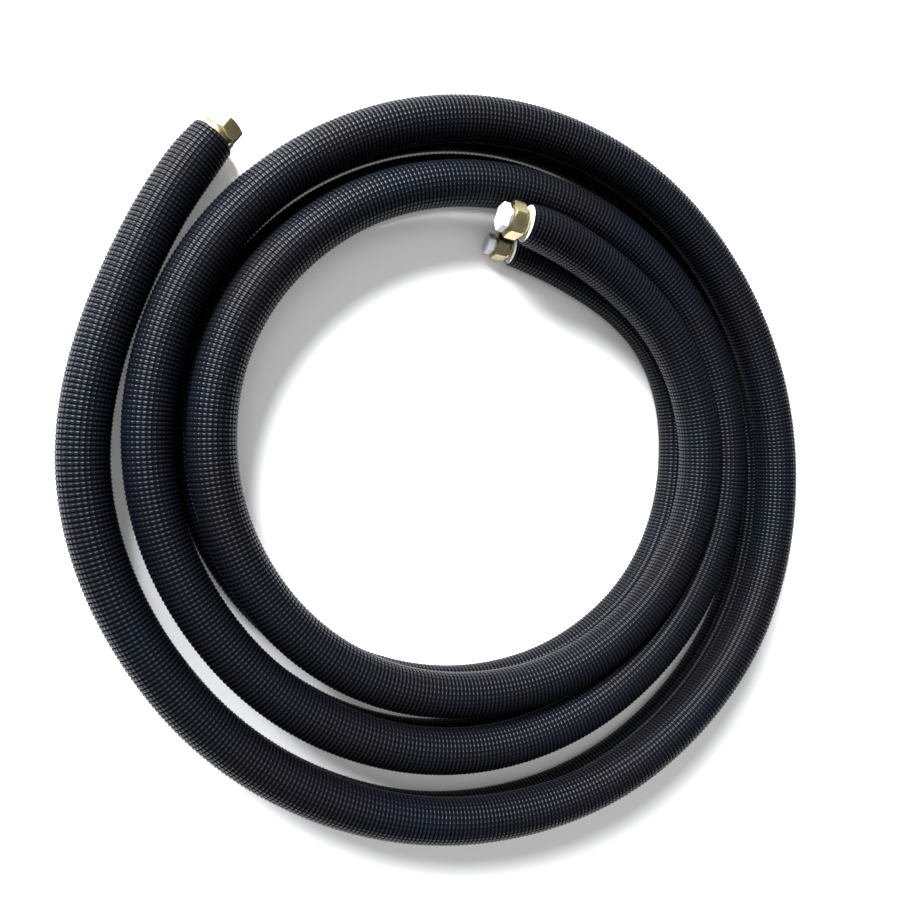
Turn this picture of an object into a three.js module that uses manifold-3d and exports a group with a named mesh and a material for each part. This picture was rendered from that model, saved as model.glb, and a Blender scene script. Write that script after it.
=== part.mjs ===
// Mini split line set: two insulated copper lines, wound together into a coil that lies on the floor.
// Units are millimetres and +Z is up. The origin is under the middle of the coil's box, on the floor,
// and +Y is the way in which the coil's outer end points.
import * as THREE from "three";
import { mergeVertices } from "three/addons/utils/BufferGeometryUtils.js";
import Module from "manifold-3d";

const wasm = await Module();
wasm.setup();

// Clearances
const TOUCH = 0.3; // left between pieces that touch
const BORE_GAP = 0.35; // round a pipe, in its nut
const THREAD_GAP = 0.4; // round a plug's shank, in its nut

// The suction line, which lies on top
const SUCTION_PIPE = 9.52;
const SUCTION_FOAM_WALL = 10;
const SUCTION_FLARE = 13.2;
const SUCTION_NUT_FLATS = 22;
const SUCTION_THREAD_BORE = 14.4;
const SUCTION_COLLAR = 19;
const SUCTION_PLUG_FLATS = 17;

// The liquid line, which lies under it
const LIQUID_PIPE = 6.35;
const LIQUID_FOAM_WALL = 9;
const LIQUID_FLARE = 9.1;
const LIQUID_NUT_FLATS = 17;
const LIQUID_THREAD_BORE = 10.2;
const LIQUID_COLLAR = 14;
const LIQUID_PLUG_FLATS = 13;

// What both lines share
const PIPE_WALL = 0.8;
const END_GAP = 1; // from the insulation's end to the nut
const COLLAR_LENGTH = 3;
const HEX_LENGTH = 9;
const NUT_CHAMFER = Math.PI / 6;
const CHAMFER_REACH = 1.2; // of the chamfer, as a share of the way from a corner in to a flat
const NECK_LENGTH = 4; // of the nut's bore that fits the pipe
const PLUG_NECK = 1.5;
const PLUG_HEAD = 4.5;
const PLUG_SHANK = 4.5;
const OVERLAP = 1; // between the shapes that join into one solid
const CUT_CLEARANCE = 0.2; // past a hexagon's corners, of the shape that chamfers it
const LIP_ROOT = 2; // of a flared lip's ring, back along the pipe
const LIP_OVERLAP = 0.05; // of that ring, into the pipe's skin

// The coil, wound inwards from its outer end. Angles are in degrees round the coil's middle.
const COIL_START = 130.8;
const SUCTION_END = 1162;
const LIQUID_END = 1158.5;
const STATION = 30; // between the places where the lists below say something
const STATIONS_A_TURN = 360 / STATION;
const RING_STEP = 15; // between the rings of a tube

// The radius of the first turn, from 120 degrees on
const FIRST_STATION = 120;
const FIRST_TURN = [276, 252, 246, 234.8, 230.3, 234, 243.3, 248.4, 244, 239.5, 238.4, 234.5, 228];

// The free space between a turn and the turn outside it, from 510 degrees on
const SLACK = [
  0.3, 5.2, 7.5, 11.2, 17.8, 26.3, 27, 16.5, 11.3, 13.1, 12, 7.5,
  5.5, 6, 5.2, 5.9, 6.7, 2.4, 0, 0, 0, 1.6, 0.6,
];

// How far the last turn climbs the shoulder of the turn outside it, by angle
const CLIMB = new Map([[1020, 1], [1050, 5], [1080, 7.8], [1110, 8.8], [1140, 10], [1170, 18]]);

// How far the liquid line lies outwards of the suction line, by angle
const DRIFT = new Map([
  [240, 3], [270, 4.2], [300, 2.4], [720, 2], [750, 8], [780, 14], [810, 15.2], [840, 11.9],
  [870, 10.2], [900, 10.2], [930, 5], [1050, 2.7], [1080, 3], [1110, 7], [1140, -2], [1170, -8],
]);

// Turns of the nuts about their own axes, in degrees from a flat on top
const OUTER_NUT_TURN = 38;
const INNER_NUT_TURN = 38.6;

// Sides of the tubes and turned shapes
const SLEEVE_SIDES = 12;
const PIPE_SIDES = 8;
const TURNED_SIDES = 24;

const radians = THREE.MathUtils.degToRad;

const jacket = (name) =>
  new THREE.MeshStandardMaterial({ name, color: 0x23262e, roughness: 0.55, metalness: 0 });
const copper = () =>
  new THREE.MeshStandardMaterial({ name: "copper", color: 0xb87350, roughness: 0.35, metalness: 1 });
const brass = () =>
  new THREE.MeshStandardMaterial({ name: "brass", color: 0xb8a56e, roughness: 0.35, metalness: 1 });
const whitePlastic = () =>
  new THREE.MeshStandardMaterial({ name: "plug", color: 0xf2f1ee, roughness: 0.45, metalness: 0 });

// Everything about one line that follows from its driving sizes
function lineSizes(pipe, foamWall, flare, nutFlats, threadBore, collar, plugFlats) {
  const sleeveBore = pipe + 2 * TOUCH;
  const sleeve = sleeveBore + 2 * foamWall;
  const seat = (threadBore - pipe) / 2 - BORE_GAP; // length of the nut's 45 degree seat
  return { pipe, sleeveBore, sleeve, flare, nutFlats, threadBore, collar, plugFlats, seat };
}

const suction = lineSizes(
  SUCTION_PIPE, SUCTION_FOAM_WALL, SUCTION_FLARE, SUCTION_NUT_FLATS,
  SUCTION_THREAD_BORE, SUCTION_COLLAR, SUCTION_PLUG_FLATS,
);
const liquid = lineSizes(
  LIQUID_PIPE, LIQUID_FOAM_WALL, LIQUID_FLARE, LIQUID_NUT_FLATS,
  LIQUID_THREAD_BORE, LIQUID_COLLAR, LIQUID_PLUG_FLATS,
);

const NUT_LENGTH = COLLAR_LENGTH + HEX_LENGTH;

// Values of a route at its stations. A turn lies beside the turn outside it: their jackets touch where
// there is no slack, and where a turn climbs, the touching tubes stay one diameter apart.
function suctionStations() {
  const radius = [...FIRST_TURN];
  const height = FIRST_TURN.map(() => liquid.sleeve + TOUCH + suction.sleeve / 2);
  for (const slack of SLACK) {
    const climb = CLIMB.get(FIRST_STATION + radius.length * STATION) ?? 0;
    const apart = Math.sqrt((suction.sleeve + TOUCH) ** 2 - climb ** 2);
    height.push(height[0] + climb);
    radius.push(radius[radius.length - STATIONS_A_TURN] - apart - slack);
  }
  return { radius, height };
}

function liquidStations(above) {
  const radius = [];
  above.radius.forEach((over, i) => {
    const wished = over + (DRIFT.get(FIRST_STATION + i * STATION) ?? 0);
    const outside = radius[i - STATIONS_A_TURN] ?? Infinity;
    radius.push(Math.min(wished, outside - liquid.sleeve - TOUCH));
  });
  return { radius, height: radius.map(() => liquid.sleeve / 2) };
}

// A smooth curve through a list of values, at a place between them
function between(values, place) {
  const i = THREE.MathUtils.clamp(Math.floor(place), 0, values.length - 2);
  const t = place - i;
  const a = values[i];
  const b = values[i + 1];
  const before = values[i - 1] ?? 2 * a - b;
  const after = values[i + 2] ?? 2 * b - a;
  const rise = (b - before) / 2;
  const fall = (after - a) / 2;
  return a + t * (rise + t * (3 * (b - a) - 2 * rise - fall + t * (2 * (a - b) + rise + fall)));
}

// The middle of a line: the coil, and past each end of it a straight stub along the coil's tangent.
// Its rings stand at the same angles on every turn and on both lines.
class LineCurve extends THREE.Curve {
  constructor(stations, end, stub) {
    super();
    this.stations = stations;
    this.end = end;
    const angles = [COIL_START];
    const firstRing = (Math.floor(COIL_START / RING_STEP) + 1) * RING_STEP;
    for (let angle = firstRing; angle < end - RING_STEP / 3; angle += RING_STEP) angles.push(angle);
    angles.push(end);
    this.rings = angles.map((angle) => ({ point: this.onCoil(angle), along: this.tangentAt(angle) }));
    if (stub > 0) {
      const first = this.rings[0];
      const last = this.rings[this.rings.length - 1];
      this.rings.unshift({ point: first.point.clone().addScaledVector(first.along, -stub), along: first.along });
      this.rings.push({ point: last.point.clone().addScaledVector(last.along, stub), along: last.along });
    }
    this.steps = this.rings.length - 1;
  }

  onCoil(angle) {
    const place = (angle - FIRST_STATION) / STATION;
    const radius = between(this.stations.radius, place);
    const height = between(this.stations.height, place);
    return new THREE.Vector3(radius * Math.cos(radians(angle)), radius * Math.sin(radians(angle)), height);
  }

  // Level at the ends, so that the fittings lie level
  tangentAt(angle) {
    const reach = 1;
    const along = this.onCoil(angle + reach).sub(this.onCoil(angle - reach));
    if (angle === COIL_START || angle === this.end) along.z = 0;
    return along.normalize();
  }

  ring(u) {
    return this.rings[Math.round(u * this.steps)];
  }

  getPointAt(u, target = new THREE.Vector3()) {
    return target.copy(this.ring(u).point);
  }

  getTangentAt(u, target = new THREE.Vector3()) {
    return target.copy(this.ring(u).along);
  }
}

function polygon(shape, diameter, sides) {
  for (let i = 0; i < sides; i++) {
    const angle = (2 * Math.PI * i) / sides;
    const x = (diameter / 2) * Math.cos(angle);
    const y = (diameter / 2) * Math.sin(angle);
    if (i === 0) shape.moveTo(x, y);
    else shape.lineTo(x, y);
  }
  shape.closePath();
  return shape;
}

function tubeAlong(curve, outside, outsideSides, bore) {
  const section = polygon(new THREE.Shape(), outside, outsideSides);
  section.holes.push(polygon(new THREE.Path(), bore, PIPE_SIDES));
  return new THREE.ExtrudeGeometry(section, { steps: curve.steps, extrudePath: curve });
}

// A ring turned about +Z from a closed outline of [radius, height] points
function turned(outline, sides) {
  const points = outline.map(([radius, height]) => new THREE.Vector2(radius, height));
  points.push(points[0].clone());
  return new THREE.LatheGeometry(points, sides).rotateX(Math.PI / 2);
}

function solidOf(geometry) {
  const bare = geometry.clone();
  bare.deleteAttribute("normal");
  bare.deleteAttribute("uv");
  const merged = mergeVertices(bare, 1e-4);
  const mesh = new wasm.Mesh({
    numProp: 3,
    vertProperties: new Float32Array(merged.attributes.position.array),
    triVerts: new Uint32Array(merged.index.array),
  });
  return new wasm.Manifold(mesh);
}

function geometryOf(solid) {
  const mesh = solid.getMesh();
  const geometry = new THREE.BufferGeometry();
  geometry.setAttribute("position", new THREE.BufferAttribute(new Float32Array(mesh.vertProperties), 3));
  geometry.setIndex(new THREE.BufferAttribute(new Uint32Array(mesh.triVerts), 1));
  geometry.computeVertexNormals();
  return geometry;
}

// The fittings below are drawn along +Z: 0 is the insulation's end, and the line goes on upwards.
const nutStart = END_GAP;
const nutEnd = nutStart + NUT_LENGTH;
const seatStart = nutStart + NECK_LENGTH;

// The flared lip, which lies on the nut's seat
function flareShape(line) {
  const inner = line.pipe / 2 - PIPE_WALL;
  const outer = line.pipe / 2;
  const widen = (line.flare - line.pipe) / 2;
  const slope = PIPE_WALL * Math.SQRT2;
  const start = seatStart + BORE_GAP;
  const rootStart = start - LIP_ROOT;
  return turned([
    [inner - LIP_OVERLAP, rootStart],
    [outer + LIP_OVERLAP, rootStart],
    [outer + LIP_OVERLAP, start],
    [outer + widen, start + widen],
    [outer + widen - slope / 2, start + widen + slope / 2],
    [inner - LIP_OVERLAP, start + slope - (PIPE_WALL - LIP_OVERLAP)],
  ], TURNED_SIDES);
}

const pipeStub = seatStart + BORE_GAP - LIP_ROOT / 4;

function nutShape(line) {
  const bore = line.pipe / 2 + BORE_GAP;
  const thread = line.threadBore / 2;
  const corner = line.nutFlats / Math.sqrt(3);
  const flat = line.nutFlats / 2;
  const slopeRun = (corner - flat) * CHAMFER_REACH;
  const drop = slopeRun * Math.tan(NUT_CHAMFER);
  const hexStart = nutStart + COLLAR_LENGTH;
  const hex = new THREE.CylinderGeometry(corner, corner, HEX_LENGTH, 6);
  hex.rotateX(Math.PI / 2).translate(0, 0, hexStart + HEX_LENGTH / 2);
  const edge = corner + CUT_CLEARANCE;
  const chamfered = turned([
    [bore, hexStart - OVERLAP],
    [edge - slopeRun, hexStart],
    [edge, hexStart + drop],
    [edge, nutEnd - drop],
    [edge - slopeRun, nutEnd],
    [thread, nutEnd],
    [thread, seatStart + line.seat],
    [bore, seatStart],
  ], TURNED_SIDES);
  const round = turned([
    [bore, nutStart],
    [line.collar / 2, nutStart],
    [line.collar / 2, hexStart + OVERLAP],
    [bore, hexStart + OVERLAP],
  ], TURNED_SIDES);
  return geometryOf(solidOf(hex).intersect(solidOf(chamfered)).add(solidOf(round)));
}

function plugShape(line) {
  const shank = line.threadBore / 2 - THREAD_GAP;
  const corner = line.plugFlats / Math.sqrt(3);
  const head = new THREE.CylinderGeometry(corner, corner, PLUG_HEAD, 6);
  head.rotateX(Math.PI / 2).translate(0, 0, nutEnd + PLUG_NECK + PLUG_HEAD / 2);
  const length = PLUG_SHANK + PLUG_NECK + OVERLAP;
  const screw = new THREE.CylinderGeometry(shank, shank, length, TURNED_SIDES);
  screw.rotateX(Math.PI / 2).translate(0, 0, nutEnd - PLUG_SHANK + length / 2);
  return geometryOf(solidOf(head).add(solidOf(screw)));
}

// Where a line's end is and how a fitting drawn along +Z lies on it, with its +X edge upwards
function endPlace(curve, atStart) {
  const { point, along } = curve.rings[atStart ? 0 : curve.steps];
  const away = along.clone().multiplyScalar(atStart ? -1 : 1);
  const up = new THREE.Vector3(0, 0, 1);
  const side = away.clone().cross(up);
  const basis = new THREE.Matrix4().makeBasis(up, side, away);
  return { point, rotation: new THREE.Quaternion().setFromRotationMatrix(basis) };
}

function fitting(name, geometry, material, place, turn) {
  const holder = new THREE.Group();
  holder.position.copy(place.point);
  holder.quaternion.copy(place.rotation);
  const mesh = new THREE.Mesh(geometry, material);
  mesh.name = name;
  mesh.rotation.z = radians(turn);
  holder.add(mesh);
  return holder;
}

function flaredPipe(line, curve, outer, inner) {
  const flare = flareShape(line);
  let pipe = solidOf(tubeAlong(curve, line.pipe, PIPE_SIDES, line.pipe - 2 * PIPE_WALL));
  for (const place of [outer, inner]) {
    const lip = flare.clone().applyQuaternion(place.rotation).translate(...place.point.toArray());
    pipe = pipe.add(solidOf(lip));
  }
  return geometryOf(pipe);
}

function makeLine(name, line, stations, end) {
  const group = new THREE.Group();
  const covered = new LineCurve(stations, end, 0);
  const whole = new LineCurve(stations, end, pipeStub);
  const outer = endPlace(covered, true);
  const inner = endPlace(covered, false);
  const pipe = new THREE.Mesh(flaredPipe(line, whole, outer, inner), copper());
  pipe.name = `${name}_pipe`;
  const sleeveGeometry = tubeAlong(covered, line.sleeve, SLEEVE_SIDES, line.sleeveBore);
  const sleeve = new THREE.Mesh(sleeveGeometry, jacket(`${name}_jacket`));
  sleeve.name = `${name}_insulation`;
  group.add(pipe, sleeve);
  group.add(fitting(`${name}_flare_nut_outer`, nutShape(line), brass(), outer, OUTER_NUT_TURN));
  group.add(fitting(`${name}_flare_nut_inner`, nutShape(line), brass(), inner, INNER_NUT_TURN));
  group.add(fitting(`${name}_plug_inner`, plugShape(line), whitePlastic(), inner, INNER_NUT_TURN));
  return { group, outer };
}

const suctionRoute = suctionStations();
const suctionLine = makeLine("suction", suction, suctionRoute, SUCTION_END);
const liquidLine = makeLine("liquid", liquid, liquidStations(suctionRoute), LIQUID_END);

// The coil is turned so that its outer end points along +Y, and its box is set over the origin
const coil = new THREE.Group();
coil.add(liquidLine.group, suctionLine.group);
const outwards = new THREE.Vector3(0, 0, 1).applyQuaternion(suctionLine.outer.rotation);
coil.rotation.z = Math.PI / 2 - Math.atan2(outwards.y, outwards.x);

const lineSet = new THREE.Group();
lineSet.name = "mini_split_line_set";
lineSet.add(coil);
const box = new THREE.Box3().setFromObject(lineSet, true);
const middle = box.getCenter(new THREE.Vector3());
coil.position.set(-middle.x, -middle.y, -box.min.z);

export default lineSet;
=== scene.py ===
import math

import bpy
import numpy as np
from mathutils import Matrix, Vector


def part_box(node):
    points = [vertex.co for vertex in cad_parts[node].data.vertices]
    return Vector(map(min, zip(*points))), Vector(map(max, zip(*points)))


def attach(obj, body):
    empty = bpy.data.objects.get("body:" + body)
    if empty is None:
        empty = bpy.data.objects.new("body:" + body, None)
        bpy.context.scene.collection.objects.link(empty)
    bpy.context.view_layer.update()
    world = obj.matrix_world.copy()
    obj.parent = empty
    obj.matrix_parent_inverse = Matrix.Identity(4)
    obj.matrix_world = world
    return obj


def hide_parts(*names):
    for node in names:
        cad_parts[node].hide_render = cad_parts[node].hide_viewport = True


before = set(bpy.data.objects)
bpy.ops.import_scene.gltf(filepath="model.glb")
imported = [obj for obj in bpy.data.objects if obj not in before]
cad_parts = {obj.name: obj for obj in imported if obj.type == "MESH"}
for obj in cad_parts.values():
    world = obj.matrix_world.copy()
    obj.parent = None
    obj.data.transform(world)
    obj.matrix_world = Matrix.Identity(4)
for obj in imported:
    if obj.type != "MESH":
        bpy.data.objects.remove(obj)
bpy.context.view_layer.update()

# Sizes shared with the solids, in metres
TOUCH = 0.0003
BORE_GAP = 0.00035
PIPE_WALL = 0.0008
END_GAP = 0.001
COLLAR_LENGTH = 0.003
HEX_LENGTH = 0.009
NECK_LENGTH = 0.004
PLUG_NECK = 0.0015
PLUG_HEAD = 0.0045
PLUG_SHANK = 0.0045
THREAD_GAP = 0.0004
CUT_CLEARANCE = 0.0002
CHAMFER_REACH = 1.2
NUT_CHAMFER = math.radians(30)
OUTER_NUT_TURN = math.radians(38)
INNER_NUT_TURN = math.radians(38.6)

# The coil's route, wound inwards from its outer end, round the coil's own middle
COIL_START = 130.8
SUCTION_END = 1162
LIQUID_END = 1158.5
ROUTE_STEP = 0.5
STATION = 30
FIRST_STATION = 120
STATIONS_A_TURN = 12
FIRST_TURN = [
    0.276, 0.252, 0.246, 0.2348, 0.2303, 0.234, 0.2433, 0.2484, 0.244, 0.2395, 0.2384, 0.2345, 0.228,
]
SLACK = [
    0.0003, 0.0052, 0.0075, 0.0112, 0.0178, 0.0263, 0.027, 0.0165, 0.0113, 0.0131, 0.012, 0.0075,
    0.0055, 0.006, 0.0052, 0.0059, 0.0067, 0.0024, 0, 0, 0, 0.0016, 0.0006,
]
CLIMB = {1020: 0.001, 1050: 0.005, 1080: 0.0078, 1110: 0.0088, 1140: 0.010, 1170: 0.018}
DRIFT = {
    240: 0.003, 270: 0.0042, 300: 0.0024, 720: 0.002, 750: 0.008, 780: 0.014, 810: 0.0152,
    840: 0.0119, 870: 0.0102, 900: 0.0102, 930: 0.005, 1050: 0.0027, 1080: 0.003, 1110: 0.007,
    1140: -0.002, 1170: -0.008,
}

# The camera of the photograph, in the coil's own plan
FOCAL_LENGTH = 34.0
SENSOR_WIDTH = 36.0
CAMERA_TILT = math.radians(20.5)
TILT_TOWARDS = math.radians(-3.5)
CAMERA_PLAN = (-0.2197, 0.0275)
CAMERA_OVER_LINE = 0.525
CAMERA_CLIP = 0.01

# The ribbed jacket
RIB_PITCH = 0.0028
RIB_DEPTH = 0.0007
RINGS_A_RIB = 2
CREST_LIFT = 0.00005
SWELL = 0.00012
SWELL_LENGTH = 3.6
END_TAPER = 0.0016
TAPER_LENGTH = 0.03

# The foam's ends
FOAM_SETBACK = 0.0003
FOAM_DEPTH = 0.006
FOAM_LIP = 0.0006
FOAM_SIDES = 72

# Fine surfaces
PIPE_STEP = 0.008
PIPE_SIDES = 20
NUT_SIDES = 144
CHAMFER_RINGS = 14
EDGE_ROUND = 0.00025
COLLAR_ROUND = 0.0004
COLLAR_FILLET = 0.0003
MOUTH_BEVEL = 0.0005
THREAD_DEPTH = 0.0004
RINGS_A_THREAD = 8
PLUG_SIDES = 96
PLUG_ROUND = 0.0006
CLOSED = 0.02  # the share of its radius to which a plug's face is drawn together


def line_sizes(
    name, pipe, foam_wall, flare, nut_flats, thread_bore, thread_pitch, collar, plug_flats, columns
):
    sleeve_bore = pipe + 2 * TOUCH
    return {
        "name": name,
        "pipe": pipe,
        "sleeve_bore": sleeve_bore,
        "sleeve": sleeve_bore + 2 * foam_wall,
        "flare": flare,
        "nut_flats": nut_flats,
        "thread_bore": thread_bore,
        "thread_pitch": thread_pitch,
        "collar": collar,
        "plug_flats": plug_flats,
        "columns": columns,
    }


suction = line_sizes("suction", 0.00952, 0.010, 0.0132, 0.022, 0.0144, 0.00141, 0.019, 0.017, 34)
liquid = line_sizes("liquid", 0.00635, 0.009, 0.0091, 0.017, 0.0102, 0.00127, 0.014, 0.013, 28)


def suction_stations():
    radius = list(FIRST_TURN)
    level = liquid["sleeve"] + TOUCH + suction["sleeve"] / 2
    height = [level] * len(radius)
    for slack in SLACK:
        climb = CLIMB.get(FIRST_STATION + len(radius) * STATION, 0)
        apart = math.sqrt((suction["sleeve"] + TOUCH) ** 2 - climb**2)
        height.append(level + climb)
        radius.append(radius[-STATIONS_A_TURN] - apart - slack)
    return np.array(radius), np.array(height)


def liquid_stations(over):
    radius = []
    for i, above in enumerate(over):
        wished = above + DRIFT.get(FIRST_STATION + i * STATION, 0)
        outside = radius[i - STATIONS_A_TURN] if i >= STATIONS_A_TURN else math.inf
        radius.append(min(wished, outside - liquid["sleeve"] - TOUCH))
    return np.array(radius), np.full(len(radius), liquid["sleeve"] / 2)


def between(values, place):
    """A smooth curve through a list of values, at places between them."""
    i = np.clip(np.floor(place).astype(int), 0, len(values) - 2)
    t = place - i
    a, b = values[i], values[i + 1]
    before = np.where(i > 0, values[np.maximum(i - 1, 0)], 2 * a - b)
    after = np.where(i + 2 < len(values), values[np.minimum(i + 2, len(values) - 1)], 2 * b - a)
    rise = (b - before) / 2
    fall = (after - a) / 2
    return a + t * (rise + t * (3 * (b - a) - 2 * rise - fall + t * (2 * (a - b) + rise + fall)))


def on_coil(stations, degrees):
    """Points of a line in the coil's own frame."""
    radius, height = stations
    degrees = np.asarray(degrees, float)
    place = (degrees - FIRST_STATION) / STATION
    r = between(radius, place)
    angle = np.radians(degrees)
    return np.stack([r * np.cos(angle), r * np.sin(angle), between(height, place)], -1)


def unit(v):
    return v / np.linalg.norm(v, axis=-1, keepdims=True)


suction["stations"] = suction_stations()
suction["end"] = SUCTION_END
liquid["stations"] = liquid_stations(suction["stations"][0])
liquid["end"] = LIQUID_END


def level_tangent(stations, degrees):
    reach = 1
    along = on_coil(stations, [degrees + reach])[0] - on_coil(stations, [degrees - reach])[0]
    along[2] = 0
    return unit(along)


# Where the coil's own frame lies in the model: its outer end points along +Y, and its nut's box says where
outwards = -level_tangent(suction["stations"], COIL_START)
coil_turn = math.pi / 2 - math.atan2(outwards[1], outwards[0])
turning = np.array(Matrix.Rotation(coil_turn, 3, "Z"))
nut_low, nut_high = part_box("suction_flare_nut_outer")
end_point = np.array([(nut_low.x + nut_high.x) / 2, nut_low.y - END_GAP, (nut_low.z + nut_high.z) / 2])
coil_shift = end_point - turning @ on_coil(suction["stations"], [COIL_START])[0]


def in_model(points):
    return points @ turning.T + coil_shift


class Route:
    """A line's middle in the model, measured along it from the outer end of its insulation."""

    def __init__(self, line):
        degrees = np.append(np.arange(COIL_START, line["end"], ROUTE_STEP), line["end"])
        self.points = in_model(on_coil(line["stations"], degrees))
        steps = np.linalg.norm(np.diff(self.points, axis=0), axis=1)
        self.measure = np.append(0, np.cumsum(steps))
        self.length = self.measure[-1]
        self.along = unit(np.gradient(self.points, self.measure, axis=0))
        self.along[0] = level_tangent(line["stations"], COIL_START) @ turning.T
        self.along[-1] = level_tangent(line["stations"], line["end"]) @ turning.T

    def at(self, places):
        """Middles and directions at some measures; past the ends the line runs on straight."""
        inside = np.clip(places, 0, self.length)
        point = np.stack([np.interp(inside, self.measure, self.points[:, k]) for k in range(3)], -1)
        along = unit(np.stack([np.interp(inside, self.measure, self.along[:, k]) for k in range(3)], -1))
        return point + along * (places - inside)[:, None], along

    def rings(self, places):
        """Middles, outward and upward directions of the rings at some measures."""
        point, along = self.at(places)
        outward = unit(np.cross(along, [0, 0, 1]))
        return point, outward, np.cross(outward, along)

    def end(self, outer):
        """A matrix that lays a fitting, drawn along +Z with its +X edge up, on one of the line's ends."""
        place = 0.0 if outer else self.length
        point, along = self.at(np.array([place]))
        away = Vector(along[0]) * (-1 if outer else 1)
        up = Vector((0, 0, 1))
        side = away.cross(up)
        return Matrix.Translation(Vector(point[0])) @ Matrix((up, side, away)).transposed().to_4x4()


for line in (suction, liquid):
    line["route"] = Route(line)


def make_camera():
    camera = bpy.data.objects.new("camera", bpy.data.cameras.new("camera"))
    bpy.context.scene.collection.objects.link(camera)
    camera.data.lens = FOCAL_LENGTH
    camera.data.sensor_width = SENSOR_WIDTH
    towards = Vector((math.cos(TILT_TOWARDS), math.sin(TILT_TOWARDS), 0))
    hinge = Vector((0, 0, -1)).cross(towards)
    tilt = Matrix.Rotation(CAMERA_TILT, 4, hinge)
    line_level = suction["stations"][1][0]
    place = np.array([*CAMERA_PLAN, line_level + CAMERA_OVER_LINE])
    coil_matrix = Matrix.Rotation(coil_turn, 4, "Z")
    camera.matrix_world = Matrix.Translation(Vector(in_model(place))) @ coil_matrix @ tilt
    camera.data.clip_start = CAMERA_CLIP
    bpy.context.scene.camera = camera


def grid_object(name, points, closed_ends=False, grid_uv=None):
    """A smooth mesh from rings of points, rings first, with the rings closed on themselves.

    grid_uv gives the measure of each ring and the count of columns round the tube.
    """
    rings, sides = points.shape[:2]
    index = np.arange(rings * sides).reshape(rings, sides)
    nxt = np.roll(index, -1, axis=1)
    faces = np.stack([index[:-1], nxt[:-1], nxt[1:], index[1:]], -1).reshape(-1, 4).tolist()
    if closed_ends:
        faces.append(index[0][::-1].tolist())
        faces.append(index[-1].tolist())
    mesh = bpy.data.meshes.new(name)
    mesh.from_pydata(points.reshape(-1, 3).tolist(), [], faces)
    if grid_uv is not None:
        along, around = grid_uv
        u = np.repeat(along, sides).reshape(rings, sides)
        v0 = np.tile(np.arange(sides), (rings, 1)) * around / sides
        v1 = v0 + around / sides
        corners = np.stack([
            np.stack([u[:-1], v0[:-1]], -1), np.stack([u[:-1], v1[:-1]], -1),
            np.stack([u[1:], v1[1:]], -1), np.stack([u[1:], v0[1:]], -1),
        ], 2).reshape(-1, 2)
        layer = mesh.uv_layers.new(name="ribs")
        flat = np.zeros((len(mesh.loops), 2))
        flat[: len(corners)] = corners
        layer.data.foreach_set("uv", flat.ravel())
    mesh.shade_smooth()
    made = bpy.data.objects.new(name, mesh)
    bpy.context.scene.collection.objects.link(made)
    return made


# Materials

def new_material(name):
    material = bpy.data.materials.new(name)
    material.use_nodes = True
    tree = material.node_tree
    return material, tree, tree.nodes["Principled BSDF"]


class Maths:
    """Short ways to add nodes to a material."""

    def __init__(self, tree):
        self.tree = tree

    def node(self, kind, **inputs):
        made = self.tree.nodes.new(kind)
        for key, value in inputs.items():
            self.put(made.inputs[key.replace("_", " ")], value)
        return made

    def put(self, socket, value):
        if isinstance(value, bpy.types.NodeSocket):
            self.tree.links.new(value, socket)
        else:
            socket.default_value = value

    def do(self, operation, a, b=None, c=None):
        made = self.tree.nodes.new("ShaderNodeMath")
        made.operation = operation
        for socket, value in zip(made.inputs, (a, b, c)):
            if value is not None:
                self.put(socket, value)
        return made.outputs[0]

    def noise(self, vector, scale, detail=3.0, rough=0.5):
        made = self.tree.nodes.new("ShaderNodeTexNoise")
        self.put(made.inputs["Vector"], vector)
        made.inputs["Scale"].default_value = scale
        made.inputs["Detail"].default_value = detail
        made.inputs["Roughness"].default_value = rough
        return made.outputs["Fac"]

    def spread(self, value, low, high, start=0.0, end=1.0):
        made = self.tree.nodes.new("ShaderNodeMapRange")
        for key, number in {"From Min": start, "From Max": end, "To Min": low, "To Max": high}.items():
            made.inputs[key].default_value = number
        self.put(made.inputs["Value"], value)
        return made.outputs["Result"]

    def blend(self, factor, a, b):
        made = self.tree.nodes.new("ShaderNodeMix")
        made.data_type = "RGBA"
        self.put(made.inputs["Factor"], factor)
        self.put(made.inputs["A"], a)
        self.put(made.inputs["B"], b)
        return made.outputs["Result"]

    def bump(self, height, distance, strength=1.0):
        made = self.tree.nodes.new("ShaderNodeBump")
        made.inputs["Strength"].default_value = strength
        made.inputs["Distance"].default_value = distance
        self.put(made.inputs["Height"], height)
        return made.outputs["Normal"]

    def place(self):
        return self.tree.nodes.new("ShaderNodeTexCoord").outputs["Object"]


# The first jacket colour is painted shade, laid in the grooves between the beads; the other two are random
# patches of tone.
JACKET_GROOVE_SHADE = (0.0014, 0.0017, 0.0024, 1)
JACKET_BLUE = (0.0022, 0.0036, 0.0064, 1)
JACKET_WARM = (0.0034, 0.0028, 0.0044, 1)


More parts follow.
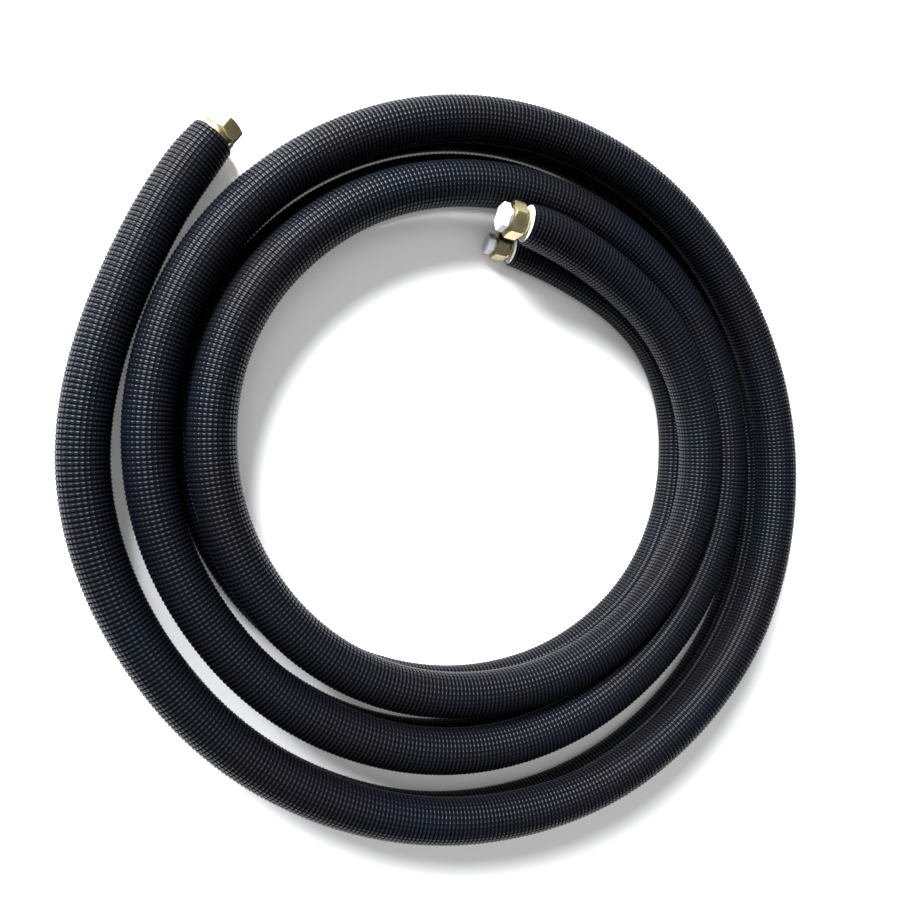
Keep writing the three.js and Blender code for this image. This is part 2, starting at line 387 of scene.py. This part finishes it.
def jacket_material():
    material, tree, shader = new_material("jacket_film")
    m = Maths(tree)
    uv = tree.nodes.new("ShaderNodeUVMap")
    uv.uv_map = "ribs"
    parts = m.node("ShaderNodeSeparateXYZ", Vector=uv.outputs["UV"])
    rib = m.do("ABSOLUTE", m.do("SINE", m.do("MULTIPLY", parts.outputs["X"], math.pi)))
    column = m.do("ABSOLUTE", m.do("SINE", m.do("MULTIPLY", parts.outputs["Y"], math.pi)))
    rib_height = m.do("POWER", rib, 0.7)
    column_height = m.do("POWER", column, 0.6)
    bead = m.do("MULTIPLY", rib_height, m.spread(column_height, 0.65, 1.0))
    place = m.place()
    patches = m.noise(place, 14.0, 3.0)
    grain = m.noise(place, 900.0, 2.0)
    colour = m.blend(m.spread(patches, 0, 1, 0.35, 0.65), JACKET_BLUE, JACKET_WARM)
    # Painted shade: the grooves between the beads are coloured darker than the crests.
    colour = m.blend(m.spread(bead, 0, 1, 0.1, 0.75), JACKET_GROOVE_SHADE, colour)
    m.put(shader.inputs["Base Color"], colour)
    m.put(shader.inputs["Roughness"], m.spread(m.do("ADD", grain, patches), 0.32, 0.44, 0.6, 1.4))
    m.put(shader.inputs["Specular IOR Level"], m.spread(bead, 0.0, 0.46, 0.4, 0.95))
    shader.inputs["IOR"].default_value = 1.3
    m.put(shader.inputs["Normal"], m.bump(bead, 0.0010))
    return material


def foam_material():
    material, tree, shader = new_material("white_foam")
    m = Maths(tree)
    place = m.place()
    cells = m.noise(place, 1800.0, 2.0)
    shade = m.noise(place, 160.0, 3.0)
    m.put(shader.inputs["Base Color"], m.blend(shade, (0.58, 0.57, 0.55, 1), (0.70, 0.70, 0.69, 1)))
    shader.inputs["Roughness"].default_value = 0.75
    m.put(shader.inputs["Normal"], m.bump(cells, 0.0002))
    return material


def metal_material(name, light, dark, rough_low, rough_high, tool_scale):
    """Machined metal: fine turning lines, cloudy tarnish and small roughness changes."""
    material, tree, shader = new_material(name)
    m = Maths(tree)
    place = m.place()
    stretched = m.node("ShaderNodeMapping", Vector=place)
    stretched.inputs["Scale"].default_value = (1, 1, 12)
    lines = m.noise(stretched.outputs["Vector"], tool_scale, 4.0, 0.6)
    cloud = m.noise(place, 120.0, 4.0)
    m.put(shader.inputs["Base Color"], m.blend(m.spread(cloud, 0, 1, 0.35, 0.7), light, dark))
    m.put(shader.inputs["Roughness"], m.spread(lines, rough_low, rough_high, 0.3, 0.7))
    shader.inputs["Metallic"].default_value = 1.0
    m.put(shader.inputs["Normal"], m.bump(lines, 0.00001, 0.3))
    return material


def plug_material():
    material, tree, shader = new_material("plug_plastic")
    m = Maths(tree)
    place = m.place()
    cloud = m.noise(place, 90.0, 3.0)
    m.put(shader.inputs["Base Color"], m.blend(cloud, (0.54, 0.54, 0.57, 1), (0.62, 0.62, 0.66, 1)))
    m.put(shader.inputs["Roughness"], m.spread(cloud, 0.38, 0.52, 0.3, 0.7))
    shader.inputs["Subsurface Weight"].default_value = 0.15
    shader.inputs["Subsurface Scale"].default_value = 0.002
    m.put(shader.inputs["Normal"], m.bump(m.noise(place, 700.0), 0.00004))
    return material


def floor_material():
    material, tree, shader = new_material("pale_floor")
    m = Maths(tree)
    place = m.place()
    shade = m.noise(place, 3.0, 2.0)
    m.put(shader.inputs["Base Color"], m.blend(shade, (0.86, 0.86, 0.86, 1), (0.90, 0.90, 0.90, 1)))
    shader.inputs["Roughness"].default_value = 0.9
    shader.inputs["Specular IOR Level"].default_value = 0.2
    shader.inputs["Emission Color"].default_value = (1, 1, 1, 1)
    shader.inputs["Emission Strength"].default_value = 0.12
    return material


BRASS_LIGHT = (0.52, 0.45, 0.26, 1)
BRASS_DARK = (0.40, 0.33, 0.18, 1)
COPPER_LIGHT = (0.85, 0.50, 0.34, 1)
COPPER_DARK = (0.62, 0.32, 0.20, 1)

paint = {
    "jacket": jacket_material(),
    "foam": foam_material(),
    "brass": metal_material("brass", BRASS_LIGHT, BRASS_DARK, 0.22, 0.36, 500.0),
    "copper": metal_material("copper", COPPER_LIGHT, COPPER_DARK, 0.18, 0.34, 300.0),
    "plug": plug_material(),
    "floor": floor_material(),
}


def finish_piece(piece, material, body, slot, *nodes):
    piece.data.materials.append(paint[material])
    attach(piece, body)
    if nodes:
        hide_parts(*nodes)
    return piece


# The jackets

def waviness(places, angles, seed):
    """Slow swells of a jacket's surface, from -1 to 1."""
    waves = 4
    total = np.zeros(np.broadcast(places, angles).shape)
    for k in range(1, waves + 1):
        turns = 2 * math.pi * (7 * k + seed) / SWELL_LENGTH
        total = total + np.sin(turns * places + k * angles + 1.7 * seed * k) / waves
    return total


def make_jacket(line, seed):
    route = line["route"]
    ribs = int(route.length / RIB_PITCH)
    rings = ribs * RINGS_A_RIB + 1
    places = np.linspace(0, route.length, rings)
    sides = line["columns"]
    angles = 2 * math.pi * np.arange(sides) / sides
    point, outward, up = route.rings(places)
    crest = np.arange(rings) % RINGS_A_RIB == 1
    radius = np.where(crest, line["sleeve"] / 2, line["sleeve"] / 2 - RIB_DEPTH)
    near = np.minimum(places, route.length - places) / TAPER_LENGTH
    taper = END_TAPER * np.clip(1 - near, 0, 1) ** 2
    swell = SWELL * waviness(places[:, None], angles[None, :], seed)
    reach = (radius - taper)[:, None] + CREST_LIFT + swell
    cos, sin = np.cos(angles)[None, :, None], np.sin(angles)[None, :, None]
    points = point[:, None] + reach[..., None] * (cos * outward[:, None] + sin * up[:, None])
    grid_uv = (np.arange(rings) / RINGS_A_RIB, sides)
    jacket = grid_object(f"{line['name']}_jacket", points, grid_uv=grid_uv)
    return jacket, point


def sharpen_rings(piece, sides):
    """Marks the edges round each ring as sharp, so that every rib shows its two slopes."""
    mesh = piece.data
    ends = np.zeros(len(mesh.edges) * 2, int)
    mesh.edges.foreach_get("vertices", ends)
    ring = ends.reshape(-1, 2) // sides
    sharp = mesh.attributes.new("sharp_edge", "BOOLEAN", "EDGE")
    sharp.data.foreach_set("value", (ring[:, 0] == ring[:, 1]).tolist())


def lay(points, matrix):
    return points @ np.array(matrix.to_3x3()).T + np.array(matrix.translation)


def turned_object(name, outline, matrix, sides):
    """A closed outline of (radius, height) turned about +Z, and laid by a matrix."""
    angles = 2 * math.pi * np.arange(sides) / sides
    points = np.array([[(r * math.cos(a), r * math.sin(a), z) for a in angles] for r, z in outline])
    return grid_object(name, lay(points, matrix))


def make_foam(line, outer):
    """The foam's end: a short sleeve with rounded lips, seen between the jacket and the pipe."""
    outside = line["sleeve"] / 2 - RIB_DEPTH - END_TAPER - FOAM_SETBACK
    inside = line["sleeve_bore"] / 2
    corner = FOAM_LIP * 0.3
    outline = [
        (inside, -FOAM_DEPTH), (outside, -FOAM_DEPTH), (outside, -FOAM_LIP),
        (outside - corner, -corner), (outside - FOAM_LIP, 0), (inside + FOAM_LIP, 0),
        (inside + corner, -corner), (inside, -FOAM_LIP), (inside, -FOAM_DEPTH),
    ]
    side = "outer" if outer else "inner"
    matrix = line["route"].end(outer)
    return turned_object(f"{line['name']}_foam_{side}", outline, matrix, FOAM_SIDES)


# Pipes, nuts and plugs. Fittings are drawn along +Z: 0 is the insulation's end.

nut_start = END_GAP
nut_end = nut_start + COLLAR_LENGTH + HEX_LENGTH
seat_start = nut_start + NECK_LENGTH


def make_pipe(line):
    """The copper pipe along the whole line, with a flared lip at each end."""
    route = line["route"]
    outer = line["pipe"] / 2
    inner = outer - PIPE_WALL
    widen = (line["flare"] - line["pipe"]) / 2
    start = seat_start + BORE_GAP
    slope = PIPE_WALL * math.sqrt(2)
    count = int(route.length / PIPE_STEP)
    middle = [(s, outer, inner) for s in np.linspace(0, route.length, count)]

    def end(sign, base):
        far = start + widen
        return [
            (base + sign * start, outer, inner),
            (base + sign * (start + 0.15 * widen), outer + 0.12 * widen, inner + 0.02 * widen),
            (base + sign * far, outer + widen, inner + widen - slope * 0.35),
            (base + sign * (far + slope * 0.35), outer + widen - slope * 0.15, inner + widen),
        ]

    profile = end(-1, 0)[::-1] + middle + end(1, route.length)
    places = np.array([p[0] for p in profile])
    point, outward, up = route.rings(places)
    angles = 2 * math.pi * np.arange(PIPE_SIDES) / PIPE_SIDES
    cos, sin = np.cos(angles)[None, :, None], np.sin(angles)[None, :, None]
    spread = cos * outward[:, None] + sin * up[:, None]
    skin = point[:, None] + np.array([p[1] for p in profile])[:, None, None] * spread
    bore = point[:, None] + np.array([p[2] for p in profile])[:, None, None] * spread
    loop = np.concatenate([skin, bore[::-1], skin[:1]])
    return grid_object(f"{line['name']}_pipe_copper", loop)


def hexagon(flats, angles, turn):
    """How far a hexagon's sides are from its middle, with its edges slightly rounded."""
    corner = flats / math.sqrt(3) - EDGE_ROUND
    local = (angles - turn + math.pi / 6) % (math.pi / 3) - math.pi / 6
    return np.minimum(flats / 2 / np.cos(local), corner)


def make_nut(line, outer, turn):
    """A flare nut: round collar, chamfered hexagon and a threaded socket in front of its seat."""
    angles = 2 * math.pi * np.arange(NUT_SIDES) / NUT_SIDES
    corner = line["nut_flats"] / math.sqrt(3)
    flat = line["nut_flats"] / 2
    slope_run = (corner - flat) * CHAMFER_REACH
    drop = slope_run * math.tan(NUT_CHAMFER)
    hex_start = nut_start + COLLAR_LENGTH
    edge = corner + CUT_CLEARANCE
    hexed = hexagon(line["nut_flats"], angles, turn)
    bore = line["pipe"] / 2 + BORE_GAP
    thread = line["thread_bore"] / 2
    seat = thread - bore
    rings = []

    def round_ring(radius, height):
        rings.append((np.full(NUT_SIDES, radius), np.full(NUT_SIDES, height)))

    def hex_ring(height):
        into = min(height - hex_start, nut_end - height)
        cone = edge - slope_run + into / math.tan(NUT_CHAMFER)
        rings.append((np.minimum(hexed, cone), np.full(NUT_SIDES, height)))

    collar = line["collar"] / 2
    round_ring(bore, nut_start)
    round_ring(collar - COLLAR_ROUND, nut_start)
    round_ring(collar - COLLAR_ROUND / 4, nut_start + COLLAR_ROUND / 4)
    round_ring(collar, nut_start + COLLAR_ROUND)
    round_ring(collar, hex_start - COLLAR_FILLET)
    round_ring(collar + COLLAR_FILLET, hex_start)
    slope = drop * np.linspace(0, 1.02, CHAMFER_RINGS)
    for height in np.concatenate([hex_start + slope, nut_end - slope[::-1]]):
        hex_ring(height)
    round_ring(thread + MOUTH_BEVEL, nut_end)
    round_ring(thread + MOUTH_BEVEL / 5, nut_end - 0.8 * MOUTH_BEVEL)
    pitch = line["thread_pitch"]
    depth = seat_start + seat
    first = nut_end - 1.2 * MOUTH_BEVEL
    count = int((first - depth) / pitch * RINGS_A_THREAD)
    for height in np.linspace(first, depth + THREAD_DEPTH, count):
        saw = np.abs(((height / pitch + angles / (2 * math.pi)) % 1) * 2 - 1)
        rings.append((thread + THREAD_DEPTH * saw, np.full(NUT_SIDES, height)))
    round_ring(thread, depth)
    round_ring(bore, seat_start)
    rings.append(rings[0])
    points = np.array([
        np.stack([r * np.cos(angles), r * np.sin(angles), z], -1) for r, z in rings
    ])
    side = "outer" if outer else "inner"
    return grid_object(f"{line['name']}_nut_{side}_brass", lay(points, line["route"].end(outer)))


def make_plug(line, turn):
    """A white plastic plug: a hexagonal head with soft edges on a shank that sits in the nut."""
    angles = 2 * math.pi * np.arange(PLUG_SIDES) / PLUG_SIDES
    start = nut_end + PLUG_NECK
    end = start + PLUG_HEAD
    shank = line["thread_bore"] / 2 - THREAD_GAP
    shank_end = nut_end - PLUG_SHANK
    bevel = 0.0005
    hexed = hexagon(line["plug_flats"], angles, turn)
    rings = [
        (shank * CLOSED, shank_end), (shank - bevel, shank_end),
        (shank, shank_end + bevel), (shank, start),
    ]

    def soft_ring(share, edge, inwards):
        round_off = PLUG_ROUND * (1 - math.sqrt(1 - (1 - share) ** 2))
        rings.append((hexed - round_off, edge + inwards * PLUG_ROUND * share))

    for share in (0.0, 0.15, 0.5, 1.0):
        soft_ring(share, start, 1)
    for share in (1.0, 0.5, 0.15, 0.0):
        soft_ring(share, end, -1)
    rings += [(hexed * 0.6, end), (hexed * CLOSED, end)]
    points = np.array([
        np.stack([r * np.cos(angles), r * np.sin(angles), np.full(PLUG_SIDES, z)], -1) for r, z in rings
    ])
    laid = lay(points, line["route"].end(False))
    return grid_object(f"{line['name']}_plug_plastic", laid, closed_ends=True)


def crisp(piece, angle=math.radians(28)):
    """Keeps a fitting's edges sharp and its round parts smooth."""
    piece.data.set_sharp_from_angle(angle=angle)
    return piece


def make_line(line, seed):
    name = line["name"]
    jacket, middle = make_jacket(line, seed)
    sharpen_rings(jacket, line["columns"])
    finish_piece(jacket, "jacket", "lines", "jacket", f"{name}_insulation")
    pipe = finish_piece(crisp(make_pipe(line)), "copper", "lines", "copper", f"{name}_pipe")
    for outer in (True, False):
        finish_piece(crisp(make_foam(line, outer)), "foam", "lines", "jacket")
    for outer, turn in ((True, OUTER_NUT_TURN), (False, INNER_NUT_TURN)):
        side = "outer" if outer else "inner"
        nut = crisp(make_nut(line, outer, turn))
        finish_piece(nut, "brass", f"{name}_nut_{side}", "brass", f"{name}_flare_nut_{side}")
    plug = crisp(make_plug(line, INNER_NUT_TURN))
    finish_piece(plug, "plug", f"{name}_nut_inner", "plug", f"{name}_plug_inner")


make_camera()
make_line(suction, 1)
make_line(liquid, 2)


# Floor and light

FLOOR_SIZE = 6.0
FLOOR_DROP = 0.0002


def make_floor():
    half = FLOOR_SIZE / 2
    mesh = bpy.data.meshes.new("floor")
    corners = [(x, y, -FLOOR_DROP) for x, y in ((-half, -half), (half, -half), (half, half), (-half, half))]
    mesh.from_pydata(corners, [], [(0, 1, 2, 3)])
    mesh.materials.append(paint["floor"])
    floor = bpy.data.objects.new("floor", mesh)
    bpy.context.scene.collection.objects.link(floor)


def make_light(name, plan_angle, elevation, distance, size, power, colour=(1, 1, 1)):
    """An area light that looks at the coil, from an angle in the photograph's plan."""
    data = bpy.data.lights.new(name, "AREA")
    data.shape = "DISK"
    data.size = size
    data.energy = power
    data.color = colour
    light = bpy.data.objects.new(name, data)
    bpy.context.scene.collection.objects.link(light)
    angle = plan_angle + coil_turn
    level = math.cos(elevation)
    back = Vector((math.cos(angle) * level, math.sin(angle) * level, math.sin(elevation)))
    light.location = back * distance
    light.rotation_mode = "QUATERNION"
    light.rotation_quaternion = (-back).to_track_quat("-Z", "Y")


def make_world():
    world = bpy.data.worlds.new("studio")
    bpy.context.scene.world = world
    world.use_nodes = True
    background = world.node_tree.nodes["Background"]
    background.inputs["Color"].default_value = (1.0, 1.0, 1.0, 1)
    background.inputs["Strength"].default_value = 0.25


make_floor()
make_light("window", math.radians(125), math.radians(36), 2.2, 1.2, 260, (0.95, 0.97, 1.0))
make_light("ceiling", math.radians(160), math.radians(80), 2.4, 1.4, 12)
make_world()
bpy.context.scene.view_settings.view_transform = "Standard"
